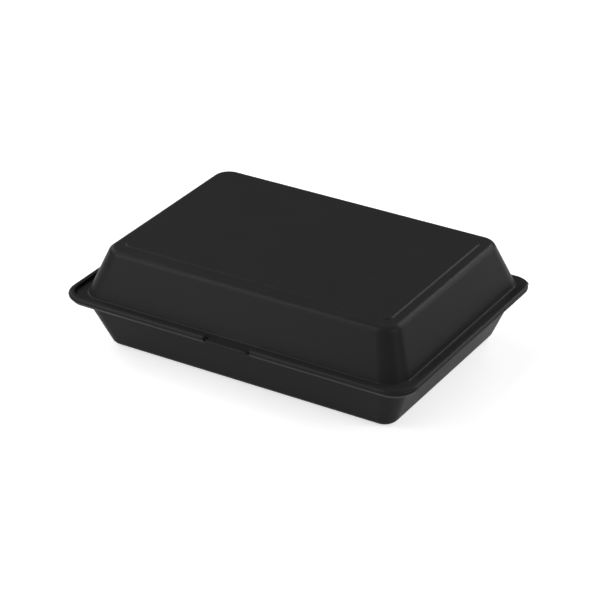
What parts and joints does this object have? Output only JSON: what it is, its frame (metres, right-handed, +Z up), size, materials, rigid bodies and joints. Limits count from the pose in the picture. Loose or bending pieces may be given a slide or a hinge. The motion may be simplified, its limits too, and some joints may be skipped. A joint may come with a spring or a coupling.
{
  "type": "reusable meal box",
  "caption": "Black plastic meal box with sloping sides, a nested lid on a living hinge, a raised top panel and a finger notch at the front.",
  "frame": {"origin": "on the table, under the middle of the closed box", "axes": "+X along the hinge, +Y from the finger notch to the hinge, +Z up"},
  "size_m": [0.24, 0.1704, 0.0658],
  "materials": {
    "polypropylene": "fine matt moulded black"
  },
  "bodies": {
    "tray": {"tray": "polypropylene", "living_hinge": "polypropylene"},
    "lid": {"lid": "polypropylene"}
  },
  "joints": [
    {"name": "lid_hinge", "type": "hinge", "parent": "tray", "child": "lid", "pos_m": [0, 0.08532, 0.0348], "axis": [-1, 0, 0], "range_deg": [0, 180], "deforming": ["living_hinge"]}
  ]
}
